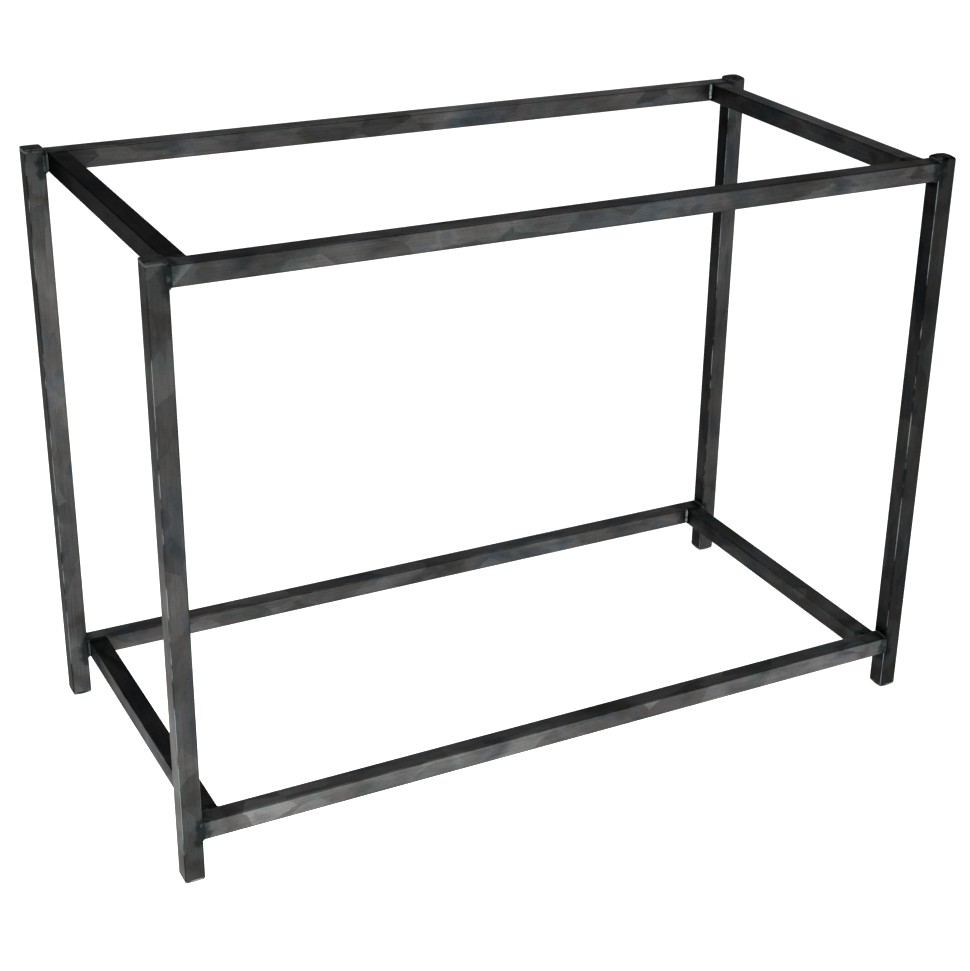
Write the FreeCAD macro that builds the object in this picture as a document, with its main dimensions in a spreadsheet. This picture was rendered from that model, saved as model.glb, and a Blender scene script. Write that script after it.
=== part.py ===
import FreeCAD, Part
import math
import os
import Sketcher

# Firewood log rack: an open box of welded square steel tube.
# Two rings of tube, one near the floor and one at the top, are welded between four posts.
# Millimetres. +X runs along the front, +Y to the back, +Z up.
# The origin is on the floor, under the middle of the rack.

NODES = []
TOLERANCE = 1e-6    # two heights closer than this are the same height
vector = FreeCAD.Vector


def make_sheet(doc, sizes):
    """Keep the driving dimensions as plain numbers with word aliases."""
    sheet = doc.addObject("Spreadsheet::Sheet", "sizes")
    for row, (alias, value, meaning) in enumerate(sizes, start=1):
        sheet.set(f"A{row}", alias)
        sheet.set(f"B{row}", str(value))
        sheet.setAlias(f"B{row}", alias)
        sheet.set(f"C{row}", meaning)
    doc.recompute()
    return sheet


SIZES = [
    ("frame_length", 1050, "outside of the posts, left to right"),
    ("frame_depth", 500, "outside of the posts, front to back"),
    ("top_ring_height", 765, "floor to the top of the upper ring"),
    ("base_ring_height", 82, "floor to the top of the lower ring"),
    ("tube_size", 25, "outside width of the square tube"),
    ("tube_wall", 1.5, "wall of the tube"),
    ("tube_corner", 1.5, "outside corner radius of the tube"),
    ("bore_corner", 0.5, "inside corner radius of the tube"),
    ("cap_thickness", 5, "plate that closes the top of a post"),
    ("cap_edge", 1, "dressed upper edge of a cap plate"),
    ("foot_thickness", 5, "plate that closes the bottom of a post"),
    ("foot_edge", 1, "dressed lower edge of a foot plate"),
    ("inset_top_left", 2.5, "gap from a post's inner face to the upper left cross rail"),
    ("inset_top_right", 8.5, "the same at the upper right"),
    ("inset_base_left", 2.5, "the same at the lower left"),
    ("inset_base_right", 3.5, "the same at the lower right"),
    ("bead_leg", 4, "leg of a fillet bead"),
    ("bead_crown", 0.6, "how far the face of a bead bulges out"),
]

doc = FreeCAD.newDocument("firewood_log_rack")
sheet = make_sheet(doc, SIZES)


def cell(alias):
    """The value of one cell, for starting geometry before its expression takes over."""
    return float(sheet.get(alias))


def origin_plane(body, role):
    for feature in body.Origin.OriginFeatures:
        if feature.Role == role:
            return feature
    raise ValueError(role)


def new_body(label):
    body = doc.addObject("PartDesign::Body", label)
    body.Label = label
    NODES.append(body)
    return body


def place(body, x, y, z):
    """Bind a body's position to the sheet."""
    body.setExpression(".Placement.Base.x", x)
    body.setExpression(".Placement.Base.y", y)
    body.setExpression(".Placement.Base.z", z)


def new_sketch(body, plane_role):
    sketch = body.newObject("Sketcher::SketchObject", body.Label + "_section")
    sketch.AttachmentSupport = [(origin_plane(body, plane_role), "")]
    sketch.MapMode = "FlatFace"
    return sketch


def bind(sketch, constraint, name, expression):
    """Add a constraint and drive it from the sheet."""
    index = sketch.addConstraint(constraint)
    sketch.renameConstraint(index, name)
    sketch.setExpression(f"Constraints.{name}", expression)
    return index


def rounded_square(sketch, name, half, radius, half_rule, radius_rule):
    """A closed square outline about the origin whose four corners are arcs."""
    flat = half - radius
    # Four sides, turning left all the way round, each followed by its corner.
    sides = [
        (vector(-flat, -half, 0), vector(flat, -half, 0)),
        (vector(half, -flat, 0), vector(half, flat, 0)),
        (vector(flat, half, 0), vector(-flat, half, 0)),
        (vector(-half, flat, 0), vector(-half, -flat, 0)),
    ]
    middles = [(flat, -flat), (flat, flat), (-flat, flat), (-flat, -flat)]
    quarter = math.pi / 2
    lines = []
    arcs = []
    for turn, (start, end) in enumerate(sides):
        lines.append(sketch.addGeometry(Part.LineSegment(start, end), False))
        middle = vector(middles[turn][0], middles[turn][1], 0)
        circle = Part.Circle(middle, vector(0, 0, 1), radius)
        first = (turn - 1) * quarter
        arcs.append(sketch.addGeometry(Part.ArcOfCircle(circle, first, first + quarter), False))
    for turn in range(4):
        following = lines[(turn + 1) % 4]
        sketch.addConstraint(Sketcher.Constraint("Tangent", lines[turn], 2, arcs[turn], 1))
        sketch.addConstraint(Sketcher.Constraint("Tangent", arcs[turn], 2, following, 1))
        direction = "Horizontal" if turn % 2 == 0 else "Vertical"
        sketch.addConstraint(Sketcher.Constraint(direction, lines[turn]))
    for arc in arcs[1:]:
        sketch.addConstraint(Sketcher.Constraint("Equal", arcs[0], arc))
    bind(sketch, Sketcher.Constraint("Radius", arcs[0], radius), name + "_corner", radius_rule)
    bottom, right, top, left = lines
    spans = [
        ("DistanceY", bottom, 1, -1, 1, name + "_below"),
        ("DistanceX", -1, 1, right, 1, name + "_right"),
        ("DistanceY", -1, 1, top, 1, name + "_above"),
        ("DistanceX", left, 1, -1, 1, name + "_left"),
    ]
    for kind, from_line, from_end, to_line, to_end, label in spans:
        rule = Sketcher.Constraint(kind, from_line, from_end, to_line, to_end, half)
        bind(sketch, rule, label, half_rule)


def outer_square(sketch):
    half = cell("tube_size") / 2
    rounded_square(sketch, "outside", half, cell("tube_corner"), "sizes.tube_size / 2",
                   "sizes.tube_corner")


def inner_square(sketch):
    half = cell("tube_size") / 2 - cell("tube_wall")
    rounded_square(sketch, "bore", half, cell("bore_corner"),
                   "sizes.tube_size / 2 - sizes.tube_wall", "sizes.bore_corner")


def pad(body, sketch, length_rule, reverse=False):
    feature = body.newObject("PartDesign::Pad", body.Label + "_length")
    feature.Profile = sketch
    feature.Reversed = reverse
    feature.setExpression("Length", length_rule)
    sketch.Visibility = False
    doc.recompute()
    return feature


def tube(label, plane_role, length_rule, position, reverse=False):
    """One length of square tube, cut square at both ends."""
    body = new_body(label)
    section = new_sketch(body, plane_role)
    outer_square(section)
    inner_square(section)
    pad(body, section, length_rule, reverse)
    place(body, *position)
    return body


# Sides of the rack. A sign of -1 is left or front, +1 is right or back.
SIDES = {"left": -1, "right": 1}
FACES = {"front": -1, "back": 1}
RINGS = {"top": "sizes.top_ring_height", "base": "sizes.base_ring_height"}

# The middle of a post, from the middle of the rack.
POST_X = "(sizes.frame_length - sizes.tube_size) / 2"
POST_Y = "(sizes.frame_depth - sizes.tube_size) / 2"


def posts():
    length = "sizes.top_ring_height - sizes.foot_thickness"
    for face, y_sign in FACES.items():
        for side, x_sign in SIDES.items():
            position = (f"{x_sign} * {POST_X}", f"{y_sign} * {POST_Y}", "sizes.foot_thickness")
            tube(f"post_{face}_{side}", "XY_Plane", length, position)


def long_rails():
    """Rails between the posts along the front and the back, flush with the posts."""
    length = "sizes.frame_length - 2 * sizes.tube_size"
    for ring, ring_top in RINGS.items():
        for face, y_sign in FACES.items():
            position = (
                "sizes.tube_size - sizes.frame_length / 2",
                f"{y_sign} * {POST_Y}",
                f"{ring_top} - sizes.tube_size / 2",
            )
            tube(f"{ring}_rail_{face}", "YZ_Plane", length, position)


def cross_rails():
    """Rails between the long rails, just inside the posts."""
    length = "sizes.frame_depth - 2 * sizes.tube_size"
    for ring, ring_top in RINGS.items():
        for side, x_sign in SIDES.items():
            middle = f"{POST_X} - sizes.tube_size - sizes.inset_{ring}_{side}"
            position = (
                f"{x_sign} * ({middle})",
                "sizes.tube_size - sizes.frame_depth / 2",
                f"{ring_top} - sizes.tube_size / 2",
            )
            tube(f"{ring}_cross_rail_{side}", "XZ_Plane", length, position, reverse=True)


def closing_plate(label, thickness_rule, edge_rule, edge_height, position):
    """A square plate with the tube's outline and one dressed edge."""
    body = new_body(label)
    section = new_sketch(body, "XY_Plane")
    outer_square(section)
    plate = pad(body, section, thickness_rule)
    rim = []
    for number, edge in enumerate(plate.Shape.Edges, start=1):
        box = edge.BoundBox
        if box.ZLength < TOLERANCE and abs(box.ZMin - edge_height) < TOLERANCE:
            rim.append(f"Edge{number}")
    dressed = body.newObject("PartDesign::Chamfer", label + "_edge")
    dressed.Base = (plate, rim)
    dressed.setExpression("Size", edge_rule)
    place(body, *position)
    doc.recompute()
    return body


def post_caps():
    for face, y_sign in FACES.items():
        for side, x_sign in SIDES.items():
            position = (f"{x_sign} * {POST_X}", f"{y_sign} * {POST_Y}", "sizes.top_ring_height")
            closing_plate(f"post_cap_{face}_{side}", "sizes.cap_thickness", "sizes.cap_edge",
                          cell("cap_thickness"), position)


def foot_plates():
    for face, y_sign in FACES.items():
        for side, x_sign in SIDES.items():
            position = (f"{x_sign} * {POST_X}", f"{y_sign} * {POST_Y}", "0")
            closing_plate(f"foot_plate_{face}_{side}", "sizes.foot_thickness", "sizes.foot_edge",
                          0.0, position)


def three_sided_bar(corner, toward_a, toward_b, along, run, reach, middle):
    """A bar whose section has two straight sides, meeting at corner, and an arc over middle."""
    tip_a = corner + toward_a * reach
    tip_b = corner + toward_b * reach
    outline = Part.Wire([
        Part.LineSegment(corner, tip_a).toShape(),
        Part.Arc(tip_a, middle, tip_b).toShape(),
        Part.LineSegment(tip_b, corner).toShape(),
    ])
    return Part.Face(outline).extrude(along * run)


def fillet_bead(corner, toward_a, toward_b, along, run, leg):
    """Weld metal in the angle between two faces, with a face that bulges out by the crown."""
    chord_middle = corner + (toward_a + toward_b) * (leg / 2)
    middle = chord_middle + (toward_a + toward_b).normalize() * cell("bead_crown")
    return three_sided_bar(corner, toward_a, toward_b, along, run, leg, middle)


def flush_seam(corner, toward_a, toward_b, along, run):
    """Weld metal that fills the groove beside a tube's round corner, ground level."""
    radius = cell("tube_corner")
    middle = corner + (toward_a + toward_b) * (radius * (1 - math.sqrt(0.5)))
    return three_sided_bar(corner, toward_a, toward_b, along, run, radius, middle)


def weld_node(label, solids):
    feature = doc.addObject("Part::Feature", label)
    feature.Label = label
    feature.Shape = Part.makeCompound(solids)
    NODES.append(feature)


def post_welds(ring, face, side):
    """Welds that hold one end of a long rail to its post.

    Two fillet beads, over and under the rail, and two flush seams, up its front and its back.
    """
    tube_size = cell("tube_size")
    run = tube_size - 2 * cell("tube_corner")
    middle_y = FACES[face] * (cell("frame_depth") - tube_size) / 2
    joint_x = SIDES[side] * (cell("frame_length") / 2 - tube_size)
    ring_top = cell(f"{ring}_ring_height")
    to_post = vector(SIDES[side], 0, 0)
    leg = cell("bead_leg")
    # Above the upper ring a bead has only the side of the cap plate to climb.
    climb = min(leg, cell("cap_thickness") - cell("cap_edge")) if ring == "top" else leg
    solids = []
    for height, upward, size in ((ring_top, 1, climb), (ring_top - tube_size, -1, leg)):
        angle = vector(joint_x, middle_y - run / 2, height)
        over = vector(0, 0, upward)
        solids.append(fillet_bead(angle, -to_post, over, vector(0, 1, 0), run, size))
    for y_side in (-1, 1):
        y = middle_y + y_side * tube_size / 2
        edge = vector(joint_x, y, ring_top - (tube_size + run) / 2)
        solids.append(flush_seam(edge, to_post, vector(0, -y_side, 0), vector(0, 0, 1), run))
    weld_node(f"weld_{ring}_{face}_{side}_post", solids)


def cross_welds(ring, face, side):
    """Welds that hold one end of a cross rail to its long rail.

    An upright fillet bead on each side of the cross rail, and two flush seams, over and under.
    """
    tube_size = cell("tube_size")
    run = tube_size - 2 * cell("tube_corner")
    inset = cell(f"inset_{ring}_{side}")
    middle_x = SIDES[side] * ((cell("frame_length") - tube_size) / 2 - tube_size - inset)
    joint_y = FACES[face] * (cell("frame_depth") / 2 - tube_size)
    ring_top = cell(f"{ring}_ring_height")
    to_rail = vector(0, FACES[face], 0)
    # The bead on the post's side is no wider than the gap beside the post.
    legs = {SIDES[side]: min(cell("bead_leg"), inset), -SIDES[side]: cell("bead_leg")}
    solids = []
    for x_side, leg in legs.items():
        angle = vector(middle_x + x_side * tube_size / 2, joint_y, ring_top - (tube_size + run) / 2)
        away = vector(x_side, 0, 0)
        solids.append(fillet_bead(angle, away, -to_rail, vector(0, 0, 1), run, leg))
    for height, upward in ((ring_top, 1), (ring_top - tube_size, -1)):
        edge = vector(middle_x - run / 2, joint_y, height)
        inward = vector(0, 0, -upward)
        solids.append(flush_seam(edge, to_rail, inward, vector(1, 0, 0), run))
    weld_node(f"weld_{ring}_{face}_{side}_cross", solids)


def welds():
    for ring in RINGS:
        for face in FACES:
            for side in SIDES:
                post_welds(ring, face, side)
                cross_welds(ring, face, side)


def check_and_write():
    """Stop on any failed object, then write each sub-part to its own file."""
    doc.recompute()
    for item in doc.Objects:
        if "Invalid" in item.State or "Error" in item.State:
            raise RuntimeError(f"{item.Label}: {item.State}")
    for node in NODES:
        if node.Shape.isNull() or not node.Shape.isValid():
            raise RuntimeError(f"{node.Label}: bad shape")
        if not node.Shape.Solids:
            raise RuntimeError(f"{node.Label}: no solid")
    os.makedirs("parts", exist_ok=True)
    for node in NODES:
        node.Shape.exportStep(f"parts/{node.Label}.step")
        print(f"{node.Label:34s} solids {len(node.Shape.Solids)}  volume {node.Shape.Volume:10.1f}")


posts()
long_rails()
cross_rails()
post_caps()
foot_plates()
welds()
check_and_write()
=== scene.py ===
import math
import random

import bpy
from bpy.props import FloatProperty, FloatVectorProperty, IntProperty, PointerProperty
from mathutils import Matrix, Vector


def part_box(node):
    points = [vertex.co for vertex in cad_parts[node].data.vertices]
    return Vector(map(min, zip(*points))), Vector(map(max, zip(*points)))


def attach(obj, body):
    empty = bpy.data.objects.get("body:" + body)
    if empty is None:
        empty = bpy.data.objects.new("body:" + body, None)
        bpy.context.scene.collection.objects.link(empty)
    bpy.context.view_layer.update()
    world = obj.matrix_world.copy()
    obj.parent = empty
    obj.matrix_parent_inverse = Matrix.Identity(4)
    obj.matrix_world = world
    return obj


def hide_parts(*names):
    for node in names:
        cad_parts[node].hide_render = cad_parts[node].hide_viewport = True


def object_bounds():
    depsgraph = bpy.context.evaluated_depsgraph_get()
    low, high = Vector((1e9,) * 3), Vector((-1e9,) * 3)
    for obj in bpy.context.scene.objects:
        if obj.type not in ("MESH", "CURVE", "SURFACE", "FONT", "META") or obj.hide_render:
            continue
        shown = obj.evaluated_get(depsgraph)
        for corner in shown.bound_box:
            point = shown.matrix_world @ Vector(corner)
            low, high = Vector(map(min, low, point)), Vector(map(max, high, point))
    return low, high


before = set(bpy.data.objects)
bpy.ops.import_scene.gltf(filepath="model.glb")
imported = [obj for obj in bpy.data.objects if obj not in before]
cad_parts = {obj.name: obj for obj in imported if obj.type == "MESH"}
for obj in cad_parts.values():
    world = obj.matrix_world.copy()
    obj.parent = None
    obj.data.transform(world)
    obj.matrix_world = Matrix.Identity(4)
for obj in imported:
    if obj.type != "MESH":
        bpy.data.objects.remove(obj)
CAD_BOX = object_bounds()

bl_info = {
    "name": "Firewood Log Rack",
    "version": (1, 0, 0),
    "blender": (4, 5, 0),
    "location": "View3D > Sidebar > Log Rack",
    "description": "Finishes a welded square-tube log rack: steel, welds, end plates and a stage",
    "category": "Object",
}

MM = 0.001
RINGS = ("top", "base")
FACES = {"front": -1, "back": 1}    # which way each face looks along Y
SIDES = {"left": -1, "right": 1}    # which way each side looks along X
JOINTS = [(ring, face, side) for ring in RINGS for face in FACES for side in SIDES]
CORNERS = [(face, side) for face in FACES for side in SIDES]

# Painted light and shade: how light each tube's left, front and top sides are painted, for the
# light that falls on them, beside the plain level of the other sides.
PAINTED_PLAIN_LIGHT = 0.8
PAINTED_SIDE_LIGHT = {
    "post_front_left": (1.3, 0.45, 0.8),
    "post_front_right": (0.3, 0.3, 0.8),
    "post_back_left": (0.3, 0.7, 0.8),
    "post_back_right": (0.25, 0.55, 0.8),
    "top_rail_front": (0.8, 0.8, 0.95),
    "top_rail_back": (0.8, 0.6, 1.8),
    "top_cross_rail_left": (0.3, 0.8, 0.25),
    "top_cross_rail_right": (0.7, 0.8, 1.8),
    "base_rail_front": (0.8, 1.0, 1.05),
    "base_rail_back": (0.8, 0.65, 1.3),
    "base_cross_rail_left": (0.9, 0.8, 0.4),
    "base_cross_rail_right": (0.5, 0.8, 1.6),
}

# How the grinder left each end plate: how deep its outer edge is rounded, in millimetres,
# and how far its outline is ground towards a circle; then how light it is beside a plain 1,
# which is painted light and shade: the caps dark, the front feet light.
END_PLATES = {
    "post_cap_front_left": (1.4, 0.15, 0.6), "post_cap_front_right": (4.4, 0.8, 0.4),
    "post_cap_back_left": (1.8, 0.2, 0.6), "post_cap_back_right": (4.0, 0.7, 0.5),
    "foot_plate_front_left": (4.6, 0.5, 1.9), "foot_plate_front_right": (4.9, 1.0, 1.7),
    "foot_plate_back_left": (4.6, 0.8, 1.2), "foot_plate_back_right": (4.8, 0.9, 0.8),
}


def srgb(hex_colour):
    """A hex colour as the linear red, green and blue that Blender works in."""
    levels = [int(hex_colour[i:i + 2], 16) / 255 for i in (1, 3, 5)]
    return tuple(v / 12.92 if v <= 0.04045 else ((v + 0.055) / 1.055) ** 2.4 for v in levels)


def colour_property(name, hex_colour, description):
    return FloatVectorProperty(
        name=name, description=description, subtype="COLOR", default=srgb(hex_colour))


def length_property(name, millimetres, description):
    return FloatProperty(
        name=name, description=description, unit="LENGTH", default=millimetres * MM)


# ------------------------------------------------------------------------------ settings


class RackSteel(bpy.types.PropertyGroup):
    """Colours of the steel and of what the torch and the grinder left on it"""
    scale_blue: colour_property("Blue scale", "#444b50", "Mill scale where it is thickest")
    scale_grey: colour_property("Grey scale", "#525354", "Mill scale of ordinary thickness")
    scale_plum: colour_property("Plum scale", "#545251", "Mill scale that has begun to brown")
    scale_green: colour_property("Green scale", "#4a504f", "Mill scale that oil has tinted")
    post_unevenness: FloatProperty(
        name="Post unevenness", description="How uneven the scale on the posts is",
        default=0.65, min=0, max=1.5, subtype="FACTOR")
    rail_unevenness: FloatProperty(
        name="Rail unevenness", description="How uneven the scale on the rails is",
        default=1.0, min=0, max=1.5, subtype="FACTOR")
    burnt: colour_property("Burnt", "#1f2526", "Blue-black oxide right beside a weld")
    dressed: colour_property("Dressed", "#505453", "Steel that a flap disc has cleaned")
    straw: colour_property("Straw", "#3a3733", "Brown heat tint past the burnt band")
    bare: colour_property("Bare", "#777c7f", "Bare steel at worn corners")
    bead: colour_property("Bead", "#303536", "Weld metal as it froze")
    bead_bright: colour_property("Brushed bead", "#74797a", "Weld metal after a wire brush")


class RackWelds(bpy.types.PropertyGroup):
    """Sizes of the beads, the dressed seams and the spatter"""
    bead_radius: length_property("Bead radius", 4.0, "Radius of a fillet bead's round back")
    bead_sink: length_property("Bead sink", 0.45, "How deep the bead's middle lies in the corner")
    bead_length: length_property("Bead length", 22.5, "Run of one bead, tips included")
    ripple_pitch: length_property("Ripple pitch", 2.3, "Step from one frozen ripple to the next")
    ripple_depth: FloatProperty(
        name="Ripple depth", description="Depth of a ripple as a share of the bead's radius",
        default=0.2, min=0, max=0.5, subtype="FACTOR")
    ripple_tilt: FloatProperty(
        name="Ripple tilt", description="How far the ripples lean along the run",
        default=math.radians(32), subtype="ANGLE")
    seam_width: length_property("Seam width", 6.5, "Width of a dressed butt seam")
    seam_rise: length_property("Seam rise", 0.18, "How proud the grinder left a butt seam")
    seam_depth: length_property("Seam depth", 1.4, "How deep a butt seam reaches into its groove")
    drop_size: length_property("Spatter size", 0.75, "Radius of a spatter drop")
    drops_per_joint: IntProperty(
        name="Spatter drops", description="Drops of spatter left around each joint", default=7,
        min=0, max=40)


class RackPlates(bpy.types.PropertyGroup):
    """Sizes of the plates that close the posts"""
    corner: length_property("Corner", 1.5, "Radius of the plates' upright corners")
    groove: length_property("Groove", 0.2, "Depth of the line where plate and post meet")
    groove_height: length_property("Groove height", 0.7, "Height of that line")


class RackStage(bpy.types.PropertyGroup):
    """The floor, the lights and the camera"""
    floor_size: FloatProperty(
        name="Floor", description="Side of the square floor", default=120, unit="LENGTH")
    floor_colour: colour_property("Floor colour", "#f4f4f3", "White laminate")
    floor_glow: FloatProperty(
        name="Floor glow", description="Light that the lit table gives off", default=1.0)
    # The pool is painted light: extra glow in the floor's own emission, strongest at its centre
    # and fading over its reach.
    painted_pool_glow: FloatProperty(
        name="Pool glow", description="Extra glow where the table is lit best", default=2.4)
    painted_pool_centre: FloatVectorProperty(
        name="Pool centre", description="Where the table is lit best", size=2,
        subtype="XYZ", default=(-1.0, -0.9))
    painted_pool_reach: FloatProperty(
        name="Pool reach", description="How far the best light reaches", default=2.2,
        unit="LENGTH")
    softbox_power: FloatProperty(
        name="Softbox", description="Power of the softbox overhead", default=130, unit="POWER")
    key_power: FloatProperty(
        name="Key", description="Power of the softbox at the front left", default=40,
        unit="POWER")
    camera_place: FloatVectorProperty(
        name="Camera", description="Where the camera stands", subtype="TRANSLATION",
        default=(-1.0498, -2.0376, 1.3817))
    camera_azimuth: FloatProperty(
        name="Azimuth", description="Turn of the view about the upright axis", subtype="ANGLE",
        default=math.radians(-29.07))
    camera_elevation: FloatProperty(
        name="Elevation", description="How steeply the view looks down", subtype="ANGLE",
        default=math.radians(24.79))
    camera_roll: FloatProperty(
        name="Roll", description="Lean of the camera about its own axis", subtype="ANGLE",
        default=math.radians(1.603))
    camera_lens: FloatProperty(
        name="Lens", description="Focal length in millimetres, on a frame 36 mm wide",
        default=69.88)
    camera_shift: FloatVectorProperty(
        name="Shift", description="Shift of the lens, as shares of the frame", size=2,
        default=(-0.0605, -0.0062))


# ------------------------------------------------------------------------------ node tools


def new_material(name):
    """An empty material's tree with its Principled shader."""
    material = bpy.data.materials.new(name)
    material.use_nodes = True
    return material, material.node_tree, material.node_tree.nodes["Principled BSDF"]


def set_inputs(tree, node, inputs):
    """Gives each named or numbered input its value, or links it to a socket or a node."""
    for key, value in inputs.items():
        live = [socket for socket in node.inputs if socket.enabled]
        socket = live[key] if isinstance(key, int) else next(s for s in live if s.name == key)
        if isinstance(value, bpy.types.Node):
            value = next(output for output in value.outputs if output.enabled)
        if isinstance(value, bpy.types.NodeSocket):
            tree.links.new(value, socket)
        else:
            socket.default_value = value


def add(tree, kind, inputs=None, stops=None, **settings):
    """Adds a node with its settings, its colour stops and its inputs."""
    node = tree.nodes.new("ShaderNode" + kind)
    for name, value in settings.items():
        setattr(node, name, value)
    if stops:
        ramp = node.color_ramp.elements
        while len(ramp) < len(stops):
            ramp.new(1)
        for element, (position, colour) in zip(ramp, stops):
            element.position = position
            element.color = (*colour, 1)
    set_inputs(tree, node, inputs or {})
    return node


def grey(level):
    return (level, level, level)


def greys(levels):
    """Colour stops of plain grey from pairs of position and level."""
    return [(position, grey(level)) for position, level in levels]


def middle(box):
    return (box[0] + box[1]) / 2


# ------------------------------------------------------------------------------ materials

# Sizes of the patterns in the mill scale, in millimetres across the tube.
PATCH_SIZE = 45
CLOUD_SIZE = 30
FLAKE_SIZE = 34
FLAKE_BEND = 12         # how far the clouds bend the outlines of the flakes
LINE_SPACING = 1.3      # drawing lines, coarser than real ones so that they show
GRAIN_SIZE = 2.2
DRIFT_SIZE = 160        # along the tube
FRAY_SIZE = 14          # the ragged front of the heat bands
FRAY_REACH = 6          # how far that front strays either way

# What draws a pattern out along the tube: its size across, as a share of its length.
SCALE_STRETCH = 0.5
LINE_STRETCH = 0.012

# Added to a tube's seed, so that each pattern is cut from a place of its own in the noise.
CLOUD_SEED, LINE_SEED, GRAIN_SEED, FRAY_SEED, DRIFT_SEED = 3, 7, 11, 17, 23

# The levels between which most of a noise lies.
NOISE_LOW, NOISE_HIGH = 0.3, 0.7

# How light the clouds are by their level. The close steps are the firm edges of lifted scale.
CLOUD_LIGHT = ((0.30, 0.6), (0.44, 0.9), (0.48, 1.0), (0.56, 1.05), (0.58, 1.22), (0.72, 1.15))

# How strongly each heat band shows, by the share of the way from the first of these
# distances from a weld to the second, in millimetres.
HEAT_REACH = (-5, 55)
CLEANED = ((0.1, 0.2), (0.26, 0.6), (0.46, 0.5), (0.58, 0.0))
STRAWED = ((0.48, 0.0), (0.62, 0.5), (0.74, 0.35), (0.92, 0.0))
SCORCHED = ((0.0, 0.85), (0.18, 0.8), (0.29, 0.0), (1.0, 0.0))

# How far out from a tube's middle its corners begin and end to take a painted shade and to wear,
# in millimetres, and how light the painted shade leaves the corners.
PAINTED_SHADE_RIM = (10.4, 11.9)
EDGE = (11.3, 12.0)
PAINTED_RIM_LEVEL = 0.38

# How worn the corners are at the floor and at the top of the rack.
POST_WEAR = (1.0, 0.8)
RAIL_WEAR = (0.5, 0.1)

# Painted shade: how light a left side is painted, by its height as a share of the rack's, darker
# towards the top.
PAINTED_SHADE_BY_HEIGHT = ((0.0, 1.0), (0.55, 0.85), (0.8, 0.42), (1.0, 0.34))

# The disc's scratches: their spacing in millimetres, as a share of their length, and the
# turn at which the disc was held.
SCRATCH_SPACING = 0.9
SCRATCH_STRETCH = 0.04
DISC_TURN = (0.3, 0.2, 0.6)

# Spots of oxide, in millimetres: where the disc didn't reach, and on the weld beads.
LOW_SPOT_SIZE = 11
LOW_SPOT_SEED = 5
BEAD_SPOT_SIZE = 5

# The turn that lays each axis along Z.
TURNS = {"X": (-math.pi / 2, "Y"), "Y": (math.pi / 2, "X"), "Z": (0, "Z")}


def tube_space(tree, axis, centre):
    """Object coordinates centred in a tube and turned so that it runs along Z."""
    turn = Matrix.Rotation(TURNS[axis][0], 3, TURNS[axis][1])
    coordinates = add(tree, "TexCoord")
    return add(tree, "Mapping", {
        "Vector": coordinates.outputs["Object"],
        "Rotation": turn.to_euler(),
        "Location": -(turn @ centre),
    })


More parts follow.
